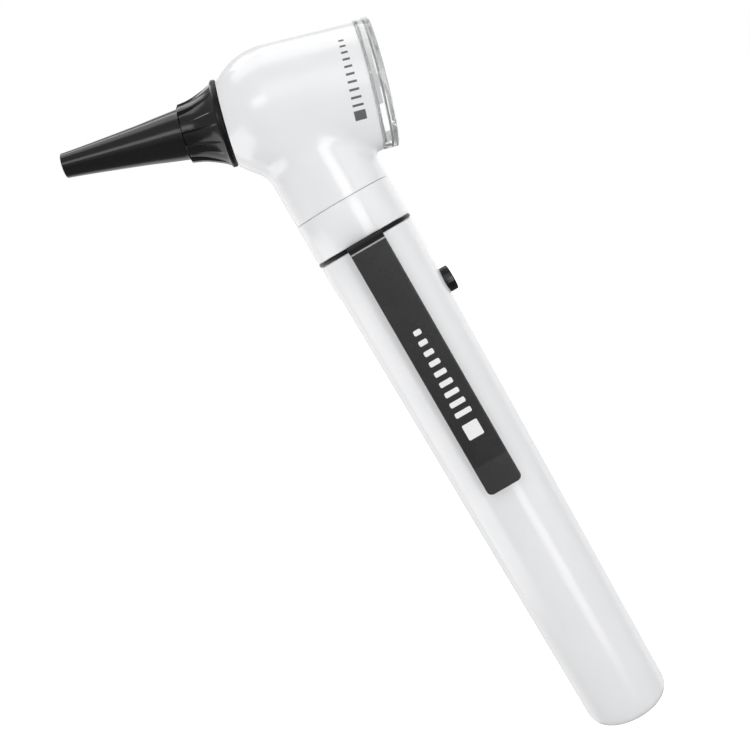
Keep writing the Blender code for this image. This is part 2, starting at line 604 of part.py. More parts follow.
def build():
    clear_scene()
    looks = {
        "white": material("white_plastic", (0.86, 0.87, 0.88), 0.28),
        "black": material("black_plastic", (0.018, 0.018, 0.019), 0.25),
        "strap": material("black_steel", (0.035, 0.035, 0.037), 0.4, 0.3),
        "steel": material("nickel_steel", (0.62, 0.62, 0.63), 0.3, 1.0),
        "brass": material("brass", (0.72, 0.52, 0.22), 0.32, 1.0),
        "dark": material("dark_plastic", (0.03, 0.03, 0.03), 0.7),
        "rubber": material("rubber", (0.02, 0.02, 0.02), 0.8),
        "jacket": material("cell_jacket", (0.12, 0.2, 0.3), 0.35, 0.4),
        "clear": material("clear_acrylic", (0.93, 0.95, 0.96), 0.04, 0.0, 1.0),
        "glass": material("lamp_glass", (0.95, 0.95, 0.93), 0.05, 0.0, 0.9),
        "fibre": material("light_fibre", (0.85, 0.85, 0.8), 0.2, 0.0, 0.4),
    }
    make_tube(looks["white"])
    cells_top = make_cells(looks["steel"], looks["brass"], looks["jacket"])
    lamp_low = make_contacts(cells_top, looks["brass"], looks["dark"], looks["steel"]) + GAP
    make_collar(looks["white"], looks["steel"], looks["rubber"])
    make_clip(looks["black"], looks["strap"])
    make_switch(looks["black"], looks["dark"], looks["brass"])
    head, optic = make_head(looks)
    make_head_inside(head, optic, lamp_low, looks)
    make_lens(optic, looks)
    make_speculum(optic, looks["black"])


build()
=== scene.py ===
"""Looks of a pocket otoscope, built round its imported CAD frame.

Lengths are in millimetres until a mesh is finished, then in metres. The handle stands along +Z.
The optical axis leans up towards -X, where the speculum is, and the lens is at its +X end.
"Along" counts forward on the optical axis from where it crosses the handle's axis.
"""
import math

import bmesh
import bpy
import numpy as np
from mathutils import Matrix, Vector
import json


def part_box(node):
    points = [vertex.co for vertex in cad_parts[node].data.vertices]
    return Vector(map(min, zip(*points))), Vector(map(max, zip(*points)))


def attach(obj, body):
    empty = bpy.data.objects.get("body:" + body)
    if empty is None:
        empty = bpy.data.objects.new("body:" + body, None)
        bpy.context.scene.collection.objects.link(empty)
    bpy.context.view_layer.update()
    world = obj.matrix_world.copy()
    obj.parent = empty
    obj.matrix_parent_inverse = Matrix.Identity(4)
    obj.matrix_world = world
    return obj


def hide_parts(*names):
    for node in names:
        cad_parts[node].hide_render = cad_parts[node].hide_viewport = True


MM = 0.001
ROUND = 144                     # steps round a large turned piece
SMALL_ROUND = 64                # steps round a small one
GAP = 0.3                       # clearance between pieces in the frame
SEAM = 0.04                     # what is left of it where pieces meet in plain sight

# Camera: where it stands, which way it looks and which way is up in its picture
EYE = Vector((-6.45, -229.0, 116.43))
LOOK = Vector((-0.0247, 0.9935, -0.1110))
PICTURE_UP = Vector((0.5007, 0.1084, 0.8588))
FOCAL = 52.8                    # on a 36 mm sensor

# Studio: soft boxes round the object, azimuth from the camera's side towards +X, in degrees
STUDIO_MIDDLE = Vector((0, 0, 0.11))
PANEL_DISTANCE = 0.8
FILL = 0.54                     # what reaches the object from everywhere else above the horizon
FILL_BELOW = 0.22               # and from well below it
FILL_FADES = (-0.24, 0.02)      # heights, in a unit sphere, between which one becomes the other
PANELS = (                      # name, azimuth, elevation, width, height, radiance
    ("strip_high", 19.5, 1.0, 0.32, 0.30, 3.3),
    ("strip_low", 19.5, -22.0, 0.28, 0.36, 3.0),
    ("front_box", -20.0, 22.0, 0.32, 0.20, 2.9),
    ("front_high", 4.0, 29.0, 0.34, 0.36, 1.0),
    ("left_side", -92.0, -13.0, 0.80, 0.44, 1.9),
    ("left_back", -140.0, -16.0, 0.70, 0.80, 0.9),
    ("right_side", 60.0, 0.0, 0.60, 0.70, 0.65),
    ("right_back", 140.0, -8.0, 0.70, 1.10, 0.8),
    ("overhead", 0.0, 88.0, 0.70, 0.34, 1.7),
    ("overhead_back", -37.5, 116.2, 0.28, 0.24, 2.0),
    ("cone_top", 15.2, 111.0, 0.26, 0.22, 3.0),
    ("back", 0.0, 150.0, 0.70, 0.30, 0.9),
)

# Handle
TUBE_END_R = 9.1
TUBE_END_ROUND = 3.0
TUBE_BORE_R = 7.65
TUBE_MOUTH_R = 8.9
TUBE_MOUTH_DEPTH = 5.95
TUBE_FLOOR = 2.5
SWITCH_TRAVEL = 4.0
KNOB_SLOT_HALF = 1.3
KNOB_SLOT_ROUND = 1.25
KNOB_SLOT_SPARE = 1.5           # slot beyond the stem's middle at each end of its travel
KNOB_SLOT_CUT = (6.0, 14.0)     # from the handle's axis outwards
KNOB_SKIRT = 0.8                # how far the knob reaches inward, before it is fitted to the tube
KNOB_BORE_R = 1.9
KNOB_WALL = 0.6                 # thickness of the knob's outer wall
KNOB_CLEARANCE = 0.02
COLLAR_BORE_R = 4.5
SPIGOT_R = 8.6
SPIGOT_GROOVE = 1.3
GROOVE_HALF = 0.85
POST_R = 7.0
POST_HEIGHT = 5.1

# Clip
TAB_INNER_Y = -8.9              # where the washer's tab under the strap starts
TAB_INSET = 0.05
STRAP_THICK = 0.9
STRAP_EDGE_R = 0.2
STRAP_BEND_R = 1.5
STRAP_BEND_STEPS = 10
STRAP_HIGHLIGHT_STEPS = 1            # of the bend's steps: how many carry the bright metal line of painted highlight
STRAP_LEAN = 0.5
TOE_FLARE = 0.7
TOE_LENGTH = 6.25
TOE_CORNER_R = 1.1
TOE_CORNER_STEPS = 8
KNEE_R = 1.5                    # rounds the strap where the toe turns out
TALLY_SQUARE = 3.4              # side of the square at the foot of the strap's tally
TALLY_SQUARE_Z = 73.0
TALLY_BARS = 9
TALLY_BAR_Z = 77.0              # height of the first bar
TALLY_BAR_PITCH = 2.3
TALLY_BAR_WIDE = 3.6            # width of the first bar
TALLY_BAR_SHRINK = 0.25         # from each bar to the next
TALLY_BAR_TALL = 1.1
TALLY_CORNER_R = 0.3
INK_SINK = 0.03
INK_RISE = 0.02

# Instrument head
PIVOT_OFFSET = 10.9             # lens pivot above the optical axis
LATCH_OFFSET = -10.4
BARREL_FRONT = 12.65
BARREL_REAR = -16.7
BARREL_R = 13.35
BARREL_REAR_R = 13.1
BARREL_NOSE_R = 8.95
SHOULDER_LENGTH = 11.3
SHOULDER_POWER = 2.4
NECK_R = 10.6
NECK_BORE_R = 9.0
NECK_BORE_DEPTH = 6.75
NECK_FILLET = 1.9               # blend distance between neck and barrel
CAVITY_R = 11.5
CAVITY_FRONT = 3.0
CAVITY_NOSE_R = 7.4
NOSE_HOLE_R = 5.1
NOSE_WALL = 2.2
EDGE_ROUND = 0.3                # on the head's three openings
EDGE_STEPS = 4
NET_PITCH = 0.5                 # grid step of the head's surface net
NET_X = (-17.0, 21.5)           # what the net spans, with some spare all round
NET_BELOW = 2.0                 # under the neck's end
NET_ABOVE = 19.0                # over the optical axis

# Tally on the barrel, in degrees round it and millimetres along it
HEAD_TALLY_ALONG = -13.3
HEAD_BLOCK = (-30.0, 2.3, 2.0)  # where, length along the barrel, width round it
HEAD_TICKS = 10
HEAD_TICK_START = -21.0
HEAD_TICK_PITCH = 6.6
HEAD_TICK_LONG = 2.2
HEAD_TICK_SHRINK = 0.13
HEAD_TICK_WIDE = 0.45
HEAD_INK_STEPS = 6              # pieces that each mark is bent from
HEAD_INK_RISE = 0.015
HEAD_INK_SINK = 0.0031          # share of its distance from the axis

# Inside the head
NOSE_TUBE_LENGTH = 15.8         # beyond the barrel
NOSE_TUBE_TIP_R = 3.05
NOSE_TUBE_TIP_BORE_R = 2.3
NOSE_FLANGE_R = 7.0
NOSE_FLANGE_THICK = 0.9
FIBRE_RING_END = 1.1
SLEEVE_THICK = 0.8
SLEEVE_IN = 1.2                 # how far inside the barrel's rear edge it starts
SLEEVE_END = -6.2
SLEEVE_NOTCH_R = 2.4            # room for the pivot's boss
BOSS_R = 2.1
BOSS_BORE_R = 1.2
BOSS_END = -7.0
PORT_SINK = 2.1
PORT_ALONG = 4.0

# Lens
LENS_THICK = 3.0
LENS_FIELD_R = 8.6              # of the part that is ground
PIVOT_END = -11.3
PIVOT_SHANK_R = 0.9
PIVOT_HEAD_R = 1.6
PIVOT_HEAD_SINK = 1.0
PIVOT_HOLE_R = 1.15
PIVOT_RECESS_R = 1.85
SCREW_SLOT = (-0.2, 0.2, 0.45)  # its two sides, and its depth from the plate's rear
LATCH_R = 0.5
LATCH_LENGTH = 1.8
LATCH_HOLE_R = 0.75
SEAT_RING_R = (12.4, 12.75)
SEAT_RING_IN = (1.1, 1.5)       # from the plate's rear

# Speculum
SPECULUM_TIP = 47.05
SPECULUM_STEPS = 360
RIM_HEIGHT = 0.75               # dull band at the very rear
RIM_R = 8.9
RIM_BORE_R = 7.5
FLARE_R = 8.45
FLARE_START = 1.15
RIB_COUNT = 8
RIB_FIRST = math.radians(4)
RIB_HALF = math.radians(9.5)
RIB_EDGE = math.radians(2.6)
RIB_DEPTH = 0.62
RIB_END = 8.7                   # length of the ribbed base
STEP_R = 5.26                   # where the slim cone leaves the ribbed base
TIP_R = 2.55
TIP_BORE_R = 2.1


# ---------------------------------------------------------------- the frame

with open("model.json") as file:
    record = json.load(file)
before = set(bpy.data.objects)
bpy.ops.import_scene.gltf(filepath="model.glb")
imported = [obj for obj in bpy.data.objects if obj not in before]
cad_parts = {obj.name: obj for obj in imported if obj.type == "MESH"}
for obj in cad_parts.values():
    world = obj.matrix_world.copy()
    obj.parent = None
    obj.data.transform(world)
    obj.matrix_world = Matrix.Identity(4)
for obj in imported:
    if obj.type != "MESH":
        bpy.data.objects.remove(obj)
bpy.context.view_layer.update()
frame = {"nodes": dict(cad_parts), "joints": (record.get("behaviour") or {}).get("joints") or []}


def lowest(node):
    """Lowest corner of a CAD node's box, in millimetres."""
    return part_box(node)[0] / MM


def highest(node):
    """Highest corner of a CAD node's box, in millimetres."""
    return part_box(node)[1] / MM


joints = {joint["name"]: joint for joint in frame["joints"]}
FORWARD = Vector(joints["speculum_pull"]["axis"]).normalized()
SIDE = Vector((0, 1, 0))
UPWARD = SIDE.cross(FORWARD)
PIVOT = Vector(joints["lens_swivel"]["pos_m"]) / MM
PIVOT_ALONG = (PIVOT.x - PIVOT_OFFSET * UPWARD.x) / FORWARD.x
CENTRE = PIVOT - PIVOT_OFFSET * UPWARD - PIVOT_ALONG * FORWARD
OPTIC = Matrix.Translation(CENTRE) @ Matrix((UPWARD, SIDE, FORWARD)).transposed().to_4x4()


# ---------------------------------------------------------------- materials

class Look:
    """A material being put together around its Principled shader."""

    def __init__(self, name):
        self.material = bpy.data.materials.new(name)
        self.material.use_nodes = True
        self.nodes = self.material.node_tree.nodes
        self.links = self.material.node_tree.links
        self.shader = self.nodes["Principled BSDF"]
        self.place = self.nodes.new("ShaderNodeTexCoord").outputs["Object"]

    def set(self, **values):
        """Fixed values on the shader's sockets, with _ for the spaces in their names."""
        for key, value in values.items():
            self.shader.inputs[key.replace("_", " ")].default_value = value

    def noise(self, scale, detail=2.0, roughness=0.5, stretch=None):
        """Noise whose scale counts per metre."""
        node = self.nodes.new("ShaderNodeTexNoise")
        node.inputs["Scale"].default_value = scale
        node.inputs["Detail"].default_value = detail
        node.inputs["Roughness"].default_value = roughness
        start = self.place
        if stretch:
            mapping = self.nodes.new("ShaderNodeMapping")
            mapping.inputs["Scale"].default_value = stretch
            self.links.new(self.place, mapping.inputs["Vector"])
            start = mapping.outputs["Vector"]
        self.links.new(start, node.inputs["Vector"])
        return node.outputs["Fac"]

    def spread(self, source, low, high, start=0.3, end=0.7):
        """Source, from start to end, spread over low to high."""
        node = self.nodes.new("ShaderNodeMapRange")
        node.inputs["From Min"].default_value = start
        node.inputs["From Max"].default_value = end
        node.inputs["To Min"].default_value = low
        node.inputs["To Max"].default_value = high
        self.links.new(source, node.inputs["Value"])
        return node.outputs["Result"]

    def tint(self, source, first, second, start=0.3, end=0.7):
        """Source turned into a blend from one colour to another."""
        node = self.nodes.new("ShaderNodeValToRGB")
        node.color_ramp.elements[0].position = start
        node.color_ramp.elements[1].position = end
        node.color_ramp.elements[0].color = (*first, 1.0)
        node.color_ramp.elements[1].color = (*second, 1.0)
        self.links.new(source, node.inputs["Fac"])
        return node.outputs["Color"]

    def relief(self, source, depth, strength=1.0, under=None):
        """Bump of a depth in millimetres."""
        node = self.nodes.new("ShaderNodeBump")
        node.inputs["Strength"].default_value = strength
        node.inputs["Distance"].default_value = depth * MM
        self.links.new(source, node.inputs["Height"])
        if under:
            self.links.new(under, node.inputs["Normal"])
        return node.outputs["Normal"]

    def wire(self, source, key):
        """Drive one of the shader's sockets."""
        self.links.new(source, self.shader.inputs[key])


def plastic(name, colour, shade, roughness, spread, grain=2500.0, depth=0.004, specular=0.5, coat=0.0,
            coat_roughness=0.05):
    """Moulded plastic: a slow drift of colour, patches of smoother skin and a fine mould grain."""
    look = Look(name)
    look.set(Specular_IOR_Level=specular, Coat_Weight=coat, Coat_Roughness=coat_roughness)
    look.wire(look.tint(look.noise(70.0, 3.0), colour, shade), "Base Color")
    look.wire(look.spread(look.noise(260.0, 4.0), roughness - spread, roughness + spread), "Roughness")
    fine = look.relief(look.noise(grain, 2.0), depth)
    slow = look.relief(look.noise(150.0, 1.0), depth * 2.0, under=fine)
    look.wire(slow, "Normal")
    return look.material


def metal(name, colour, shade, roughness, scale=900.0, stretch=(1.0, 1.0, 8.0)):
    """Machined metal: fine lines along one way, a little tarnish and a worn sheen."""
    look = Look(name)
    look.set(Metallic=1.0)
    look.wire(look.tint(look.noise(180.0, 4.0), colour, shade), "Base Color")
    lines = look.noise(scale, 3.0, stretch=stretch)
    look.wire(look.spread(lines, roughness * 0.7, roughness * 1.4), "Roughness")
    look.wire(look.relief(look.noise(scale * 2, 2.0, stretch=stretch), 0.003), "Normal")
    return look.material


def clear(name, tint, roughness, ior, haze=0.0):
    """Clear moulding with faint handling marks and a share of milky haze."""
    look = Look(name)
    look.set(Transmission_Weight=1.0 - haze, IOR=ior)
    look.wire(look.tint(look.noise(90.0, 2.0), tint, tuple(c * 0.99 for c in tint)), "Base Color")
    look.wire(look.spread(look.noise(500.0, 4.0), roughness, roughness * 2.5, 0.45, 0.8), "Roughness")
    look.wire(look.relief(look.noise(120.0, 1.0), 0.003), "Normal")
    return look.material


def cell_jacket():
    """Battery jacket: printed film with bands round it and brushed metal ends."""
    look = Look("cell_jacket_film")
    look.set(Metallic=0.4)
    split = look.nodes.new("ShaderNodeSeparateXYZ")
    look.links.new(look.place, split.inputs["Vector"])
    wave = look.nodes.new("ShaderNodeMath")
    wave.operation = "PINGPONG"
    wave.inputs[1].default_value = 0.0254
    look.links.new(split.outputs["Z"], wave.inputs[0])
    band = look.tint(wave.outputs["Value"], (0.5, 0.5, 0.52), (0.035, 0.05, 0.09), 0.0045, 0.0052)
    look.wire(band, "Base Color")
    look.wire(look.spread(look.noise(700.0, 3.0), 0.25, 0.42), "Roughness")
    look.wire(look.relief(look.noise(400.0, 2.0), 0.01), "Normal")
    return look.material


WHITE = (0.84, 0.845, 0.855)
WHITE_SHADE = (0.82, 0.825, 0.837)
looks = {
    "tube": plastic("satin_white", WHITE, WHITE_SHADE, 0.22, 0.02, depth=0.002, specular=0.8),
    "head": plastic("gloss_white", WHITE, WHITE_SHADE, 0.2, 0.015, depth=0.001, specular=0.8),
    "gloss": plastic("gloss_black", (0.005, 0.005, 0.0055), (0.007, 0.007, 0.0075), 0.17, 0.02, depth=0.003,
                     specular=0.42),
    "ring": plastic("satin_black", (0.004, 0.004, 0.004), (0.006, 0.006, 0.006), 0.35, 0.04, depth=0.004,
                    specular=0.2),
    "strap": plastic("strap_black", (0.012, 0.012, 0.0125), (0.015, 0.015, 0.0155), 0.27, 0.02, 4200.0,
                     depth=0.003, specular=0.45, coat=0.25, coat_roughness=0.12),
    "matt": plastic("matt_black", (0.018, 0.018, 0.018), (0.026, 0.026, 0.026), 0.75, 0.06, depth=0.012),
    "rubber": plastic("seal_rubber", (0.015, 0.015, 0.015), (0.024, 0.024, 0.023), 0.8, 0.06, depth=0.012),
    "steel": metal("nickel_plate", (0.66, 0.65, 0.63), (0.56, 0.55, 0.54), 0.24),
    "dark_steel": metal("dark_steel", (0.12, 0.12, 0.125), (0.08, 0.08, 0.085), 0.3),
    # Bright grey metal, used only for the painted highlight line on the strap's bend
    "painted_highlight_metal": metal("painted_highlight_edge", (0.36, 0.36, 0.36), (0.28, 0.28, 0.28), 0.34),
    "brass": metal("brass_plate", (0.78, 0.58, 0.27), (0.68, 0.48, 0.21), 0.28),
    "jacket": cell_jacket(),
    "clear": clear("clear_plate", (0.97, 0.98, 0.985), 0.05, 1.49, 0.25),
    "lamp": clear("lamp_envelope", (0.98, 0.98, 0.96), 0.01, 1.47),
    "fibre": plastic("fibre_ends", (0.85, 0.85, 0.80), (0.45, 0.45, 0.42), 0.2, 0.05, 6000.0, depth=0.02,
                     coat=0.5),
    "white_ink": plastic("white_ink", (0.86, 0.86, 0.86), (0.82, 0.82, 0.82), 0.5, 0.05),
    "grey_ink": plastic("grey_ink", (0.11, 0.11, 0.115), (0.16, 0.16, 0.165), 0.45, 0.05),
}


# ---------------------------------------------------------------- mesh tools

def finish(bm, name, look, body, nodes=(), place=None, sharp=32.0):
    """Make an object of a bmesh and let it ride on its body, in the place of its CAD nodes."""
    if place:
        bm.transform(place)
    bm.transform(Matrix.Scale(MM, 4))
    bmesh.ops.recalc_face_normals(bm, faces=bm.faces)
    mesh = bpy.data.meshes.new(name)
    bm.to_mesh(mesh)
    bm.free()
    mesh.shade_smooth()
    mesh.set_sharp_from_angle(angle=math.radians(sharp))
    mesh.materials.append(looks[look])
    piece = bpy.data.objects.new(name, mesh)
    bpy.context.scene.collection.objects.link(piece)
    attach(piece, body)
    if nodes:
        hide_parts(*nodes)
    return piece


def rounded(corners, steps=5):
    """Closed outline through corners (x, y) or (x, y, radius), where a radius makes a round corner."""
    points = []
    for i, corner in enumerate(corners):
        here = Vector(corner[:2])
        radius = corner[2] if len(corner) > 2 else 0.0
        if not radius:
            points.append(here)
            continue
        back = (Vector(corners[i - 1][:2]) - here).normalized()
        ahead = (Vector(corners[(i + 1) % len(corners)][:2]) - here).normalized()
        half = back.angle(ahead) / 2
        middle = here + (back + ahead).normalized() * radius / math.sin(half)
        start = here + back * radius / math.tan(half) - middle
        end = here + ahead * radius / math.tan(half) - middle
        turn = math.atan2(start.x * end.y - start.y * end.x, start.dot(end))
        for k in range(steps + 1):
            spin = Matrix.Rotation(turn * k / steps, 2)
            points.append(middle + spin @ start)
    return points


def rectangle(left, bottom, right, top, radius, steps=5):
    """Closed outline of a rectangle with round corners."""
    return rounded([(left, bottom, radius), (right, bottom, radius), (right, top, radius),
                    (left, top, radius)], steps)


def held(outline, margin=0.05):
    """Closed outline with points added near the ends of long stretches, which keep those flat."""
    made = []
    for here, there in zip(outline, outline[1:] + outline[:1]):
        made.append(here)
        if (there - here).length > 1.0:
            step = (there - here).normalized() * margin
            made += [here + step, there - step]
    return made


def curve_through(points, steps=6):
    """Smooth curve through points, steps to each stretch."""
    ends = [2 * Vector(points[0]) - Vector(points[1])] + [Vector(p) for p in points]
    ends.append(2 * ends[-1] - ends[-2])
    made = []
    for before, here, there, after in zip(ends, ends[1:], ends[2:], ends[3:]):
        for k in range(steps):
            t = k / steps
            tangent_in = (there - before) * 0.5
            tangent_out = (after - here) * 0.5
            made.append(here * (1 + 2 * t) * (1 - t) ** 2 + tangent_in * t * (1 - t) ** 2
                        + there * t * t * (3 - 2 * t) + tangent_out * t * t * (t - 1))
    return made + [ends[-2]]


def lathe(outline, steps=ROUND, radius_at=None):
    """Turn an outline of (radius, height) points about Z. Points on Z end the shape.

    radius_at(angle, radius, height) may give another radius at each angle.
    """
    bm = bmesh.new()
    rings = []
    for radius, height in outline:
        if radius < 1e-6:
            rings.append([bm.verts.new((0, 0, height))] * steps)
            continue
        ring = []
        for k in range(steps):
            angle = 2 * math.pi * k / steps
            r = radius_at(angle, radius, height) if radius_at else radius
            ring.append(bm.verts.new((r * math.cos(angle), r * math.sin(angle), height)))
        rings.append(ring)
    pairs = list(zip(rings, rings[1:]))
    if outline[0][0] > 1e-6:
        pairs.append((rings[-1], rings[0]))
    for first, second in pairs:
        for k in range(steps):
            after = (k + 1) % steps
            corners = (first[k], first[after], second[after], second[k])
            bm.faces.new(list(dict.fromkeys(corners)))
    return bm


def prism(outline, low, high):
    """Extrude a closed (x, y) outline from one height to another."""
    bm = bmesh.new()
    face = bm.faces.new([bm.verts.new((p[0], p[1], low)) for p in outline])
    grown = bmesh.ops.extrude_face_region(bm, geom=[face])
    top = [item for item in grown["geom"] if isinstance(item, bmesh.types.BMVert)]
    bmesh.ops.translate(bm, vec=(0, 0, high - low), verts=top)
    bmesh.ops.recalc_face_normals(bm, faces=bm.faces)
    return bm


def carve(bm, *cutters):
    """Cut closed bmeshes from a closed bmesh."""
    def temporary(shape):
        mesh = bpy.data.meshes.new("carving")
        bmesh.ops.recalc_face_normals(shape, faces=shape.faces)
        shape.to_mesh(mesh)
        shape.free()
        made = bpy.data.objects.new("carving", mesh)
        bpy.context.scene.collection.objects.link(made)
        return made

    target = temporary(bm)
    tools = [temporary(cutter) for cutter in cutters]
    for tool in tools:
        step = target.modifiers.new("cut", "BOOLEAN")
        step.operation = "DIFFERENCE"
        step.solver = "EXACT"
        step.object = tool
    seen = target.evaluated_get(bpy.context.evaluated_depsgraph_get())
    result = bmesh.new()
    result.from_mesh(seen.to_mesh())
    seen.to_mesh_clear()
    for item in [target, *tools]:
        mesh = item.data
        bpy.data.objects.remove(item)
        bpy.data.meshes.remove(mesh)
    return result


def along_x(height=0.0, turn=0.0):
    """Place a shape made along Z so that it lies along +X at a height, turned about its own axis."""
    lying = Matrix.Rotation(math.pi / 2, 4, "Y") @ Matrix.Rotation(turn, 4, "Z")
    return Matrix.Translation((0, 0, height)) @ lying


# ---------------------------------------------------------------- handle

def make_handle():
    """Tube, closed at its flat end, with a mouth for the collar and a slot for the switch."""
    top = highest("handle_tube")
    top.z = lowest("clip_ring").z - SEAM
    switch_z = (lowest("switch_knob").z + highest("switch_knob").z) / 2
    outline = rounded([
        (0, 0), (TUBE_END_R, 0, TUBE_END_ROUND), (top.x, top.z, 0.35), (TUBE_MOUTH_R, top.z, 0.2),
        (TUBE_MOUTH_R, top.z - TUBE_MOUTH_DEPTH), (TUBE_BORE_R, top.z - TUBE_MOUTH_DEPTH, 0.2),
        (TUBE_BORE_R, TUBE_FLOOR, 1.0), (0, TUBE_FLOOR)], steps=8)
    slot = rectangle(-KNOB_SLOT_SPARE, -KNOB_SLOT_HALF, SWITCH_TRAVEL + KNOB_SLOT_SPARE, KNOB_SLOT_HALF,
                     KNOB_SLOT_ROUND)
    cutter = prism(slot, *KNOB_SLOT_CUT)
    cutter.transform(along_x(switch_z, turn=math.pi))
    tube = carve(lathe(outline), cutter)
    finish(tube, "handle_case", "tube", "handle", ["handle_tube"])


def make_collar():
    """Collar with the spigot that fits the tube and the post that carries the head."""
    low, high = lowest("collar"), highest("collar")
    shelf = lowest("head_shell").z - SEAM * 2
    groove = (lowest("seal_ring").z + highest("seal_ring").z) / 2
    washer_top = highest("clip_ring").z + SEAM
    inner = SPIGOT_R - SPIGOT_GROOVE
    outline = rounded([
        (COLLAR_BORE_R, low.z), (SPIGOT_R, low.z, 0.4),
        (SPIGOT_R, groove - GROOVE_HALF), (inner, groove - GROOVE_HALF),
        (inner, groove + GROOVE_HALF), (SPIGOT_R, groove + GROOVE_HALF),
        (SPIGOT_R, washer_top), (high.x, washer_top, 0.12), (high.x, shelf, 0.12), (POST_R, shelf, 0.15),
        (POST_R, shelf + POST_HEIGHT, 0.4), (COLLAR_BORE_R, shelf + POST_HEIGHT, 0.2)])
    finish(lathe(outline), "neck_collar", "head", "handle", ["collar"])


def make_washer():
    """The clip's washer, held between tube and collar, and its tab under the strap's root."""
    low, high = lowest("clip_ring"), highest("clip_ring")
    outline = rounded([(TUBE_MOUTH_R, low.z), (high.x, low.z, 0.22), (high.x, high.z, 0.22),
                       (TUBE_MOUTH_R, high.z)])
    finish(lathe(outline), "clip_washer", "ring", "handle", ["clip_ring"])
    left, right = lowest("clip_arm").x, highest("clip_arm").x
    outline = rounded([(left, low.y, 0.05), (right, low.y, 0.05), (right, TAB_INNER_Y), (left, TAB_INNER_Y)])
    tab = prism(outline, low.z + TAB_INSET, high.z - TAB_INSET)
    finish(tab, "clip_tab", "ring", "handle")


def strap_line():
    """Middle line of the clip's strap as (y, z), from the hinge out, down and along to the toe."""
    low, high = lowest("clip_arm"), highest("clip_arm")
    root_z = (lowest("clip_ring").z + highest("clip_ring").z) / 2
    toe_y = low.y + STRAP_THICK / 2
    strap_y = toe_y + TOE_FLARE - STRAP_LEAN
    knee_z = low.z + TOE_LENGTH
    return rounded([(high.y, root_z), (strap_y, root_z, STRAP_BEND_R),
                    (strap_y + STRAP_LEAN, knee_z, KNEE_R), (toe_y, low.z)], steps=STRAP_BEND_STEPS)


def longest_stretch(line):
    """Where the longest straight stretch of a line starts."""
    return max(range(len(line) - 1), key=lambda i: (line[i] - line[i + 1]).length)


def make_strap():
    """Strap swept along its middle line, with round corners at the toe, a dull black band of painted shade
    over its bend and a bright metal line of painted highlight below that.
    """
    line = strap_line()
    half = (highest("clip_arm").x - lowest("clip_arm").x) / 2
    middle_x = (highest("clip_arm").x + lowest("clip_arm").x) / 2
    toe, before = line[-1], line[-2]
    run = (toe - before).normalized()
    corner_start = toe - run * TOE_CORNER_R
    path = [(p, 1.0) for p in line[:-1]]
    for k in range(TOE_CORNER_STEPS + 1):
        angle = math.radians(90 * k / TOE_CORNER_STEPS)
        width = (half - TOE_CORNER_R * (1 - math.cos(angle))) / half
        path.append((corner_start + run * TOE_CORNER_R * math.sin(angle), width))
    deep = STRAP_THICK / 2
    edge = held(rectangle(-half, -deep, half, deep, STRAP_EDGE_R, 3))
    bend_end = longest_stretch(line)
    outlines = []
    for i, (here, width) in enumerate(path):
        ahead = path[min(i + 1, len(path) - 1)][0]
        behind = path[max(i - 1, 0)][0]
        along = (ahead - behind).normalized()
        if i == bend_end:
            along = (ahead - here).normalized()
        out = Vector((along.y, -along.x))
        spots = [(middle_x + x * width, here + out * n) for x, n in edge]
        outlines.append([Vector((x, spot.x, spot.y)) for x, spot in spots])
    finish(sweep(outlines[bend_end:]), "clip_strap", "strap", "clip", ["clip_arm"])
    highlight_from = bend_end - STRAP_HIGHLIGHT_STEPS
    # The bend's last step is bright metal: a painted highlight line, standing in for the bend's reflection.
    finish(sweep(outlines[highlight_from:bend_end + 1]), "clip_painted_highlight", "painted_highlight_metal", "clip")
    # The rest of the bend, out to the washer, is dull black: painted shade, darker than the strap.
    finish(sweep(outlines[:highlight_from + 1]), "clip_bend_painted_shade", "ring", "clip")


def sweep(outlines):
    """Solid through a row of outlines, closed at both ends."""
    bm = bmesh.new()
    rings = [[bm.verts.new(spot) for spot in outline] for outline in outlines]
    for first, second in zip(rings, rings[1:]):
        for k in range(len(first)):
            after = (k + 1) % len(first)
            bm.faces.new((first[k], first[after], second[after], second[k]))
    bm.faces.new(rings[0])
    bm.faces.new(rings[-1])
    return bm


def make_strap_print():
    """Generic white tally on the strap: bars that grow, and a square at their foot."""
    line = strap_line()
    bend_end = longest_stretch(line)
    upper, lower = line[bend_end], line[bend_end + 1]
    up = (upper - lower).normalized()
    out = Vector((-up.y, up.x))
    middle_x = (highest("clip_arm").x + lowest("clip_arm").x) / 2
    face = Matrix(((1, 0, 0), (0, up.x, up.y), (0, out.x, out.y))).transposed().to_4x4()
    bm = bmesh.new()
    marks = [(TALLY_SQUARE_Z, TALLY_SQUARE, TALLY_SQUARE)]
    marks += [(TALLY_BAR_Z + TALLY_BAR_PITCH * k, TALLY_BAR_WIDE - TALLY_BAR_SHRINK * k, TALLY_BAR_TALL)
              for k in range(TALLY_BARS)]
    for z, wide, tall in marks:
        share = (z - lower.y) / (upper.y - lower.y)
        spot = lower.lerp(upper, share) + out * STRAP_THICK / 2
        x, y = wide / 2, tall / 2
        mark = prism(rectangle(-x, -y, x, y, TALLY_CORNER_R, 4), -INK_SINK, INK_RISE)
        mark.transform(Matrix.Translation((middle_x, spot.x, spot.y)) @ face)
        add_to(bm, mark)
    finish(bm, "clip_marks", "white_ink", "clip")


def add_to(target, bm):
    """Append a bmesh to another one, as a separate shell."""
    mesh = bpy.data.meshes.new("part")
    bm.to_mesh(mesh)
    bm.free()
    target.from_mesh(mesh)
    bpy.data.meshes.remove(mesh)


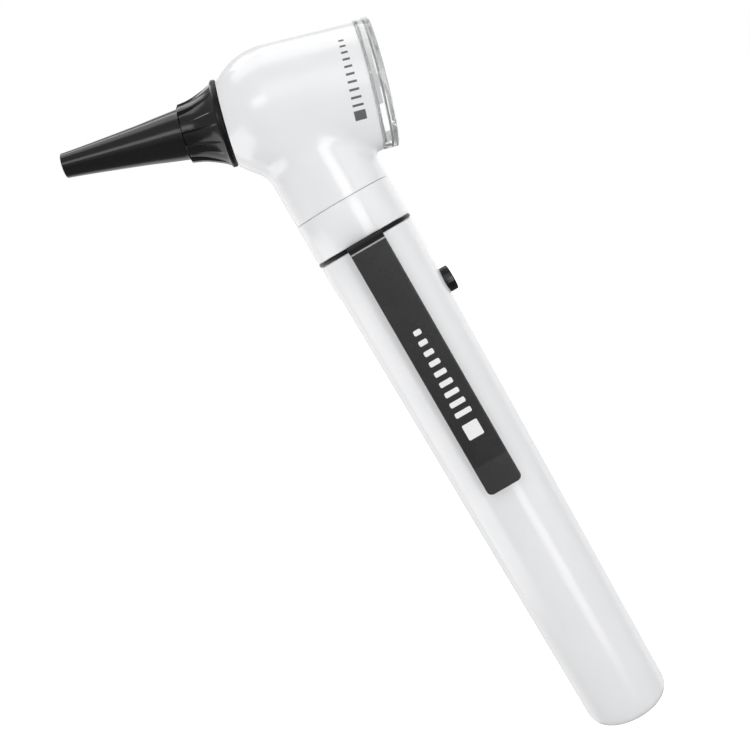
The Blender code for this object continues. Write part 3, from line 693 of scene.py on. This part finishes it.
def make_switch():
    """Hollow knob, cut at its root to fit the tapered tube wherever it slides."""
    low, high = lowest("switch_knob"), highest("switch_knob")
    radius = (high.z - low.z) / 2
    outline = rounded([(0, high.x - 0.12), (radius * 0.5, high.x - 0.1), (radius * 0.72, high.x, 0.2),
                       (radius, high.x, 0.28), (radius, low.x - KNOB_SKIRT),
                       (KNOB_BORE_R, low.x - KNOB_SKIRT), (KNOB_BORE_R, high.x - KNOB_WALL),
                       (0, high.x - KNOB_WALL)], steps=6)
    middle = (high.z + low.z) / 2
    knob = lathe(outline, SMALL_ROUND)
    knob.transform(along_x(middle))
    top = highest("handle_tube")
    share = (middle + radius + SWITCH_TRAVEL - TUBE_END_ROUND) / (top.z - TUBE_END_ROUND)
    wall = TUBE_END_R + (top.x - TUBE_END_R) * share + KNOB_CLEARANCE
    saddle = lathe([(0, middle - 2 * radius), (wall, middle - 2 * radius), (wall, middle + 2 * radius),
                    (0, middle + 2 * radius)])
    finish(carve(knob, saddle), "switch_cap", "gloss", "switch", ["switch_knob"])


# ---------------------------------------------------------------- head

def barrel_radius(along):
    """Outer radius of the barrel, and its slope, at points along the optical axis."""
    back = BARREL_FRONT - along
    turn = np.clip(1 - back / SHOULDER_LENGTH, 0, None)
    growth = BARREL_R - BARREL_NOSE_R
    shoulder = BARREL_NOSE_R + growth * (1 - turn ** SHOULDER_POWER)
    slope = growth * SHOULDER_POWER / SHOULDER_LENGTH * turn ** (SHOULDER_POWER - 1)
    taper = (BARREL_REAR_R - BARREL_R) / (BARREL_FRONT - BARREL_REAR - SHOULDER_LENGTH)
    rear = np.clip(back - SHOULDER_LENGTH, 0, None) * taper
    return shoulder + rear, slope


def head_field(points):
    """Negative inside the head's outer form, zero on it: barrel and neck with a smooth fillet."""
    centred = points - np.array(CENTRE)
    along = centred @ np.array(FORWARD)
    across = np.linalg.norm(centred - along[:, None] * np.array(FORWARD), axis=1)
    radius, slope = barrel_radius(along)
    barrel = (across - radius) / np.sqrt(1 + slope ** 2)
    neck = np.hypot(points[:, 0], points[:, 1]) - NECK_R
    neck = np.maximum(neck, points[:, 2] - CENTRE.z + 2)
    near = np.clip(NECK_FILLET - np.abs(barrel - neck), 0, None) / NECK_FILLET
    return np.minimum(barrel, neck) - near ** 2 * NECK_FILLET / 4


def slope_of(field, points):
    """Gradient of a field at points, which is the outward normal on its surface."""
    step = 0.01
    parts = []
    for axis in np.eye(3) * step:
        parts.append((field(points + axis) - field(points - axis)) / (2 * step))
    return np.stack(parts, 1)


def settle(field, points, rounds):
    """Move points onto the surface where the field is zero."""
    for _ in range(rounds):
        slope = slope_of(field, points)
        points = points - field(points)[:, None] * slope / (slope ** 2).sum(1)[:, None]
    return points


def surface_net(field, low, high, pitch):
    """Mesh of the surface where a field is zero: one point to each grid cell that it crosses."""
    axes = [np.arange(a, b, pitch) for a, b in zip(low, high)]
    grid = np.stack(np.meshgrid(*axes, indexing="ij"), -1)
    inside = field(grid.reshape(-1, 3)).reshape(grid.shape[:3]) < 0
    corners = [inside[i:i + inside.shape[0] - 1, j:j + inside.shape[1] - 1, k:k + inside.shape[2] - 1]
               for i in (0, 1) for j in (0, 1) for k in (0, 1)]
    count = sum(c.astype(int) for c in corners)
    crossed = (count > 0) & (count < 8)
    number = np.full(crossed.shape, -1)
    number[crossed] = np.arange(crossed.sum())
    points = grid[:-1, :-1, :-1][crossed] + pitch / 2
    quads = []
    for axis in range(3):
        first = np.moveaxis(inside, axis, 0)
        numbers = np.moveaxis(number, axis, 0)
        change = first[:-1] != first[1:]
        i, j, k = np.nonzero(change[:, 1:-1, 1:-1])
        j, k = j + 1, k + 1
        quads.append(np.stack([numbers[i, j - 1, k - 1], numbers[i, j, k - 1], numbers[i, j, k],
                               numbers[i, j - 1, k]], 1))
    quads = np.concatenate(quads)
    edges = np.concatenate([quads[:, [a, (a + 1) % 4]] for a in range(4)])
    points = settle(field, points, 4)
    for _ in range(6):
        total = np.zeros_like(points)
        weight = np.zeros(len(points))
        for a, b in ((0, 1), (1, 0)):
            np.add.at(total, edges[:, a], points[edges[:, b]])
            np.add.at(weight, edges[:, a], 1.0)
        points = settle(field, (points + total / np.maximum(weight, 1)[:, None]) / 2, 2)
    return points, quads


def slice_off(bm, point, direction):
    """Cut away what lies beyond a plane and give the edges of the opening."""
    everything = bm.verts[:] + bm.edges[:] + bm.faces[:]
    made = bmesh.ops.bisect_plane(bm, geom=everything, plane_co=point, plane_no=direction, dist=1e-4,
                                  clear_outer=True)
    return [item for item in made["geom_cut"] if isinstance(item, bmesh.types.BMEdge)]


def rings_inward(bm, edges, rings, place):
    """Carry an opening's edge on through rings of (radius, height) round the axis of a placing matrix."""
    back = place.inverted()
    for radius, height in rings:
        made = bmesh.ops.extrude_edge_only(bm, edges=edges)
        for vert in (item for item in made["geom"] if isinstance(item, bmesh.types.BMVert)):
            flat = back @ vert.co
            angle = math.atan2(flat.y, flat.x)
            vert.co = place @ Vector((radius * math.cos(angle), radius * math.sin(angle), height))
        edges = [item for item in made["geom"] if isinstance(item, bmesh.types.BMEdge) and item.is_boundary]
    return edges


def make_head():
    """Barrel and neck as one skin, opened at three ends and carried on inside."""
    neck_z = lowest("head_shell").z
    reach = BARREL_R + 1.0
    low = (NET_X[0], -reach, neck_z - NET_BELOW)
    high = (NET_X[1], reach, CENTRE.z + NET_ABOVE)
    points, quads = surface_net(head_field, low, high, NET_PITCH)
    bm = bmesh.new()
    verts = [bm.verts.new(p) for p in points]
    for quad in quads:
        bm.faces.new([verts[n] for n in quad])
    neck_edge = slice_off(bm, (0, 0, neck_z + EDGE_ROUND), (0, 0, -1))
    rear_edge = slice_off(bm, CENTRE + FORWARD * (BARREL_REAR + EDGE_ROUND), -FORWARD)
    front_edge = slice_off(bm, CENTRE + FORWARD * (BARREL_FRONT - EDGE_ROUND), FORWARD)
    loose = [v for v in bm.verts if not v.link_faces]
    bmesh.ops.delete(bm, geom=loose, context="VERTS")
    bmesh.ops.recalc_face_normals(bm, faces=bm.faces)
    outer = bm.faces.layers.int.new("outer")
    for face in bm.faces:
        face[outer] = 1

    def lip(radius, height, way):
        """Quarter round from an outer face to an end face."""
        points = []
        for k in range(1, EDGE_STEPS + 1):
            angle = math.radians(90 * k / EDGE_STEPS)
            fall = EDGE_ROUND * (1 - math.cos(angle))
            points.append((radius - fall, height + way * EDGE_ROUND * math.sin(angle)))
        return points

    neck_rings = lip(NECK_R, neck_z + EDGE_ROUND, -1)
    neck_rings += [(NECK_BORE_R + 0.2, neck_z), (NECK_BORE_R, neck_z + 0.2),
                   (NECK_BORE_R, neck_z + NECK_BORE_DEPTH), (2.0, neck_z + NECK_BORE_DEPTH)]
    neck_end = rings_inward(bm, neck_edge, neck_rings, Matrix())
    bmesh.ops.contextual_create(bm, geom=neck_end)
    rear_rings = lip(BARREL_REAR_R, BARREL_REAR + EDGE_ROUND, -1)
    rear_rings += [(CAVITY_R + 0.2, BARREL_REAR), (CAVITY_R, BARREL_REAR + 0.2), (CAVITY_R, CAVITY_FRONT),
                   (CAVITY_NOSE_R, BARREL_FRONT - NOSE_WALL), (NOSE_HOLE_R, BARREL_FRONT - NOSE_WALL)]
    rear_end = rings_inward(bm, rear_edge, rear_rings, OPTIC)
    front_rings = lip(BARREL_NOSE_R + EDGE_ROUND * 0.9, BARREL_FRONT - EDGE_ROUND, 1)
    front_rings += [(NOSE_HOLE_R + 0.2, BARREL_FRONT), (NOSE_HOLE_R, BARREL_FRONT - 0.2),
                    (NOSE_HOLE_R, BARREL_FRONT - NOSE_WALL + 0.3)]
    front_end = rings_inward(bm, front_edge, front_rings, OPTIC)
    bmesh.ops.bridge_loops(bm, edges=rear_end + front_end)
    piece = finish(bm, "head_casing", "head", "head", ["head_shell"])
    smooth_by_field(piece, head_field)


def smooth_by_field(piece, field):
    """Give the faces marked outer the normals of the form that they lie on."""
    mesh = piece.data
    places = np.zeros(len(mesh.vertices) * 3, np.float32)
    mesh.vertices.foreach_get("co", places)
    slope = slope_of(field, places.reshape(-1, 3) / MM)
    slope /= np.linalg.norm(slope, axis=1)[:, None]
    corner_vertex = np.zeros(len(mesh.loops), np.int32)
    mesh.loops.foreach_get("vertex_index", corner_vertex)
    normals = np.zeros((len(mesh.loops), 3))
    for face in mesh.polygons:
        if mesh.attributes["outer"].data[face.index].value:
            corners = list(face.loop_indices)
            normals[corners] = slope[corner_vertex[corners]]
    mesh.normals_split_custom_set(normals.tolist())


def make_head_marks():
    """Generic grey tally along the barrel's rear edge: ticks, with a bold one at their foot."""
    bm = bmesh.new()
    marks = [HEAD_BLOCK]
    for k in range(HEAD_TICKS):
        long = HEAD_TICK_LONG - HEAD_TICK_SHRINK * k
        marks.append((HEAD_TICK_START + HEAD_TICK_PITCH * k, long, HEAD_TICK_WIDE))
    columns = HEAD_INK_STEPS
    for degrees, long, across in marks:
        angle = math.radians(degrees)
        rows = []
        for a in (-1, 1):
            row = []
            for c in range(columns + 1):
                turn = angle + (c / columns - 0.5) * across / BARREL_REAR_R
                along = HEAD_TALLY_ALONG + a * long / 2
                radius = float(barrel_radius(np.array([along]))[0][0]) + HEAD_INK_RISE
                row.append((radius * math.sin(turn), -radius * math.cos(turn), along))
            rows.append(row)
        top = [[bm.verts.new(spot) for spot in row] for row in rows]
        sunk = [[bm.verts.new(Vector(spot) * (1 - HEAD_INK_SINK)) for spot in row] for row in rows]
        for c in range(columns):
            bm.faces.new((top[0][c], top[0][c + 1], top[1][c + 1], top[1][c]))
            bm.faces.new((sunk[0][c], sunk[1][c], sunk[1][c + 1], sunk[0][c + 1]))
            for row in (0, 1):
                bm.faces.new((top[row][c], top[row][c + 1], sunk[row][c + 1], sunk[row][c]))
        for c in (0, columns):
            bm.faces.new((top[0][c], top[1][c], sunk[1][c], sunk[0][c]))
    finish(bm, "head_marks", "grey_ink", "head", place=OPTIC)


def make_head_inside():
    """Nose tube with its ring of fibre ends, viewing tube, lens boss and air connector."""
    seat = BARREL_FRONT - NOSE_WALL - GAP
    tip = BARREL_FRONT + NOSE_TUBE_LENGTH
    root_r = NOSE_HOLE_R - GAP
    outline = rounded([(NOSE_FLANGE_R, seat - NOSE_FLANGE_THICK), (NOSE_FLANGE_R, seat), (root_r, seat),
                       (root_r, BARREL_FRONT + 0.6, 0.2), (NOSE_TUBE_TIP_R, tip, 0.1),
                       (NOSE_TUBE_TIP_BORE_R, tip), (4.0, seat - NOSE_FLANGE_THICK)])
    finish(lathe(outline, SMALL_ROUND), "nose_tube", "matt", "head", ["nose_cone"], OPTIC)
    end = tip + FIBRE_RING_END
    outline = rounded([(NOSE_TUBE_TIP_BORE_R, tip + GAP), (3.0, tip + GAP), (2.95, end, 0.15),
                       (NOSE_TUBE_TIP_BORE_R, end, 0.15)])
    finish(lathe(outline, SMALL_ROUND), "fibre_ring", "fibre", "head", ["light_ring"], OPTIC)
    at_pivot = Matrix.Translation((PIVOT_OFFSET, 0, 0))
    outer, inner = CAVITY_R - GAP, CAVITY_R - GAP - SLEEVE_THICK
    start = BARREL_REAR + SLEEVE_IN
    outline = rounded([(inner, start, 0.3), (outer, start, 0.3), (outer, SLEEVE_END), (inner, SLEEVE_END)])
    sleeve = lathe(outline)
    notch = lathe([(0, -19.0), (SLEEVE_NOTCH_R, -19.0), (SLEEVE_NOTCH_R, -5.0), (0, -5.0)], SMALL_ROUND)
    notch.transform(at_pivot)
    finish(carve(sleeve, notch), "viewing_tube", "matt", "head", ["viewing_sleeve"], OPTIC)
    start = BARREL_REAR + 0.03
    outline = rounded([(BOSS_BORE_R, start), (BOSS_R, start, 0.2), (BOSS_R, BOSS_END, 0.3),
                       (BOSS_BORE_R, BOSS_END)])
    boss = lathe(outline, SMALL_ROUND)
    finish(boss, "pivot_boss", "head", "head", place=OPTIC @ at_pivot)
    port = rounded([(0.8, 0), (1.5, 0), (1.5, 2.4, 0.15), (2.4, 2.4, 0.2), (2.4, 3.0, 0.2), (1.5, 3.0, 0.1),
                    (1.5, 4.0), (1.8, 4.3, 0.15), (1.3, 5.4, 0.1), (0.8, 5.4)])
    place = OPTIC @ Matrix.Translation((0, BARREL_R - PORT_SINK, PORT_ALONG))
    place = place @ Matrix.Rotation(-math.pi / 2, 4, "X")
    finish(lathe(port, SMALL_ROUND), "air_nozzle", "head", "head", ["air_connector"], place)


# ---------------------------------------------------------------- lens

def make_lens():
    """Clear plate with a ground field, the ring let into it, its pivot and its latch."""
    front = BARREL_REAR - SEAM
    rear = BARREL_REAR - GAP - LENS_THICK
    field = LENS_FIELD_R
    front_dish = [(0, front - 0.3), (field * 0.25, front - 0.34), (field * 0.5, front - 0.46),
                  (field * 0.75, front - 0.65), (field, front - 0.9)]
    rear_dish = [(field, rear + 0.7), (field * 0.75, rear + 0.42), (field * 0.5, rear + 0.24),
                 (field * 0.25, rear + 0.13), (0, rear + 0.1)]
    rim = rounded([(field, front - 0.9), (field + 0.35, front, 0.15), (BARREL_REAR_R, front, 0.18),
                   (BARREL_REAR_R, rear, 0.3), (field + 0.45, rear, 0.15), (field, rear + 0.7)], steps=5)
    outline = curve_through(front_dish, 4) + rim[1:-1] + curve_through(rear_dish, 4)
    at_pivot = Matrix.Translation((PIVOT_OFFSET, 0, 0))
    at_latch = Matrix.Translation((LATCH_OFFSET, 0, 0))
    shoulder = rear + PIVOT_HEAD_SINK
    recess = shoulder + 0.3
    pivot_hole = lathe([(0, front + 1), (PIVOT_HOLE_R, front + 1), (PIVOT_HOLE_R, recess),
                        (PIVOT_RECESS_R, recess), (PIVOT_RECESS_R, rear - 1), (0, rear - 1)], 48)
    pivot_hole.transform(at_pivot)
    bottom = front - LATCH_LENGTH - GAP
    latch_hole = lathe([(0, front + 1), (LATCH_HOLE_R, front + 1), (LATCH_HOLE_R, bottom), (0, bottom)], 32)
    latch_hole.transform(at_latch)
    plate = carve(lathe(outline), pivot_hole, latch_hole)
    finish(plate, "lens_plate", "clear", "lens", ["lens_window"], OPTIC)
    pin = rounded([(0, PIVOT_END), (PIVOT_SHANK_R, PIVOT_END, 0.2), (PIVOT_SHANK_R, shoulder),
                   (PIVOT_HEAD_R, shoulder), (PIVOT_HEAD_R, rear + 0.05, 0.3), (0, rear + 0.05)])
    low, high, depth = SCREW_SLOT
    slot = prism([(-2, low), (2, low), (2, high), (-2, high)], rear - 1, rear + depth)
    screw = carve(lathe(pin, SMALL_ROUND), slot)
    finish(screw, "lens_pivot", "dark_steel", "head", ["pivot_pin"], OPTIC @ at_pivot)
    (inner, outer), (near, far) = SEAT_RING_R, (rear + depth for depth in SEAT_RING_IN)
    seat = rounded([(inner, near), (outer, near, 0.1), (outer, far, 0.1), (inner, far)])
    finish(lathe(seat), "lens_seat", "dark_steel", "lens", place=OPTIC)
    latch = rounded([(0, front - LATCH_LENGTH), (LATCH_R, front - LATCH_LENGTH, 0.1),
                     (LATCH_R, front - 0.1, 0.2), (0, front - 0.1)])
    pin = lathe(latch, 32)
    finish(pin, "lens_latch", "dark_steel", "lens", ["latch_pin"], OPTIC @ at_latch)


# ---------------------------------------------------------------- speculum

def rib_radius(angle, radius, height):
    """Radius of the cone's skin, cut back between the ribs that stand on its flare."""
    on_flare = 1.2 <= height <= RIB_END + 0.05
    inside = radius < 5.62 or (height < 8 and radius < 5.7)
    if inside or not on_flare:
        return radius
    spacing = 2 * math.pi / RIB_COUNT
    off = abs((angle - RIB_FIRST + spacing / 2) % spacing - spacing / 2)
    share = min(max((off - RIB_HALF + RIB_EDGE / 2) / RIB_EDGE, 0.0), 1.0)
    share = share * share * (3 - 2 * share)
    depth = RIB_DEPTH * min(1.0, (height - FLARE_START) / 7.4) ** 0.55
    return radius - depth * share


def make_speculum():
    """Cone whose profile runs from the rim over the flare and out to the tip, then back inside."""
    start = BARREL_FRONT + GAP
    length = SPECULUM_TIP - start
    rim = rounded([(RIM_BORE_R, RIM_HEIGHT), (RIM_R, RIM_HEIGHT), (RIM_R - 0.05, RIM_HEIGHT + 0.2, 0.12),
                   (FLARE_R, FLARE_START, 0.1)])
    flare = curve_through([(FLARE_R, FLARE_START), (7.9, 2.1), (7.4, 3.2), (6.65, 5.2), (6.22, 6.8),
                           (5.95, 8.6)], 5)
    step = [(5.9, RIB_END), (5.6, RIB_END + 0.06), (STEP_R, RIB_END + 0.1)]
    slim = curve_through([(5.22, 9.0), (5.1, 9.7), (4.65, 13.4), (4.1, 17.7), (3.45, 23.9), (2.85, 30.0),
                          (TIP_R, length - 0.5)], 4)
    tip = rounded([(TIP_R, length - 0.5), (TIP_R - 0.02, length, 0.22), (TIP_BORE_R - 0.05, length, 0.15),
                   (TIP_BORE_R, length - 1.0)], steps=4)
    bore = [(2.15, length - 4.1), (2.65, length - 10.2), (3.35, length - 16.4), (4.4, 9.2), (5.1, 7.7),
            (5.6, 5.2), (6.3, 3.4), (7.2, 1.0)]
    outline = [(RIM_BORE_R, RIM_HEIGHT)] + rim[1:-1] + flare + step + slim + tip[1:-1] + bore
    place = OPTIC @ Matrix.Translation((0, 0, start))
    band = rounded([(RIM_BORE_R, 0), (RIM_R, 0, 0.25), (RIM_R, RIM_HEIGHT), (RIM_BORE_R, RIM_HEIGHT)])
    finish(lathe(band), "cone_rim", "ring", "speculum", place=place)
    cone = lathe(outline, SPECULUM_STEPS, rib_radius)
    place = place @ Matrix.Rotation(-math.pi / 2, 4, "Z")
    finish(cone, "ear_cone", "gloss", "speculum", ["speculum"], place, sharp=40.0)


# ---------------------------------------------------------------- hidden CAD nodes

def dress_nodes():
    """Materials and smooth shading for the CAD nodes that stay."""
    finishes = {
        "ground_strip": "brass", "battery_spring": "steel",
        "battery_lower": "jacket", "battery_upper": "jacket",
        "contact_rivet": "brass", "collar_insulator": "matt",
        "contact_spring": "steel", "seal_ring": "rubber",
        "bayonet_pin_near": "steel", "bayonet_pin_far": "steel", "switch_slider": "matt",
        "switch_contact": "brass", "bayonet_sleeve": "steel", "lamp_socket": "brass", "lamp_contact": "matt",
        "lamp_base": "steel", "lamp_glass": "lamp", "fibre_bundle": "fibre",
    }
    for name, look in finishes.items():
        node = frame["nodes"][name]
        node.data.materials.clear()
        node.data.materials.append(looks[look])
        for face in node.data.polygons:
            face.use_smooth = True
        weld = node.modifiers.new("weld", "WELD")
        weld.merge_threshold = 0.000002
        split = node.modifiers.new("edges", "EDGE_SPLIT")
        split.split_angle = math.radians(32)


# ---------------------------------------------------------------- studio

def stage_floor():
    """Pale floor that looks white to the camera and doesn't block the low soft boxes in reflections."""
    bm = bmesh.new()
    bmesh.ops.create_grid(bm, x_segments=2, y_segments=2, size=3.0)
    mesh = bpy.data.meshes.new("studio_floor")
    bm.to_mesh(mesh)
    bm.free()
    floor = bpy.data.objects.new("studio_floor", mesh)
    bpy.context.scene.collection.objects.link(floor)
    look = Look("pale_floor")
    look.set(Roughness=0.9, Specular_IOR_Level=0.2)
    look.wire(look.tint(look.noise(40.0, 3.0), (0.88, 0.88, 0.88), (0.90, 0.90, 0.90)), "Base Color")
    look.shader.inputs["Emission Color"].default_value = (1.0, 1.0, 1.0, 1.0)
    seen = look.nodes.new("ShaderNodeLightPath").outputs["Is Camera Ray"]
    look.wire(seen, "Emission Strength")
    mesh.materials.append(look.material)
    floor.visible_glossy = False


def panel(name, place, aim, wide, tall, radiance):
    """Soft box of a width and height in metres, as bright as its radiance."""
    data = bpy.data.lights.new(name, "AREA")
    data.shape = "RECTANGLE"
    data.size = wide
    data.size_y = tall
    data.energy = radiance * math.pi * wide * tall
    lamp = bpy.data.objects.new(name, data)
    bpy.context.scene.collection.objects.link(lamp)
    lamp.location = place
    lamp.rotation_euler = (aim - place).to_track_quat("-Z", "Y").to_euler()


def light_studio():
    """White to the camera, a plain fill to the object, and the soft boxes."""
    world = bpy.data.worlds.new("studio")
    bpy.context.scene.world = world
    world.use_nodes = True
    nodes, links = world.node_tree.nodes, world.node_tree.links
    seen = nodes["Background"]
    seen.inputs["Color"].default_value = (1.0, 1.0, 1.0, 1.0)
    seen.inputs["Strength"].default_value = 1.0
    fill = nodes.new("ShaderNodeBackground")
    fill.inputs["Color"].default_value = (1.0, 1.0, 1.0, 1.0)
    split = nodes.new("ShaderNodeSeparateXYZ")
    links.new(nodes.new("ShaderNodeTexCoord").outputs["Generated"], split.inputs["Vector"])
    rise = nodes.new("ShaderNodeMapRange")
    rise.inputs["From Min"].default_value = FILL_FADES[0]
    rise.inputs["From Max"].default_value = FILL_FADES[1]
    rise.inputs["To Min"].default_value = FILL_BELOW
    rise.inputs["To Max"].default_value = FILL
    links.new(split.outputs["Z"], rise.inputs["Value"])
    links.new(rise.outputs["Result"], fill.inputs["Strength"])
    path = nodes.new("ShaderNodeLightPath")
    mix = nodes.new("ShaderNodeMixShader")
    links.new(path.outputs["Is Camera Ray"], mix.inputs["Fac"])
    links.new(fill.outputs["Background"], mix.inputs[1])
    links.new(seen.outputs["Background"], mix.inputs[2])
    links.new(mix.outputs["Shader"], nodes["World Output"].inputs["Surface"])
    for name, azimuth, elevation, wide, tall, radiance in PANELS:
        turn, lift = math.radians(azimuth), math.radians(elevation)
        away = Vector((math.sin(turn) * math.cos(lift), -math.cos(turn) * math.cos(lift), math.sin(lift)))
        panel(name, STUDIO_MIDDLE + away * PANEL_DISTANCE, STUDIO_MIDDLE, wide, tall, radiance)
    bpy.context.scene.view_settings.view_transform = "Standard"


def place_camera():
    """Camera at EYE, looking along LOOK, with PICTURE_UP upward."""
    data = bpy.data.cameras.new("camera")
    data.lens = FOCAL
    data.sensor_width = 36.0
    data.clip_start = 0.01
    camera = bpy.data.objects.new("camera", data)
    bpy.context.scene.collection.objects.link(camera)
    back = -LOOK.normalized()
    right = PICTURE_UP.cross(back).normalized()
    up = back.cross(right)
    camera.matrix_world = Matrix.Translation(EYE * MM) @ Matrix((right, up, back)).transposed().to_4x4()
    bpy.context.scene.camera = camera


make_handle()
make_collar()
make_washer()
make_strap()
make_strap_print()
make_switch()
make_head()
make_head_marks()
make_head_inside()
make_lens()
make_speculum()
dress_nodes()
stage_floor()
light_studio()
place_camera()
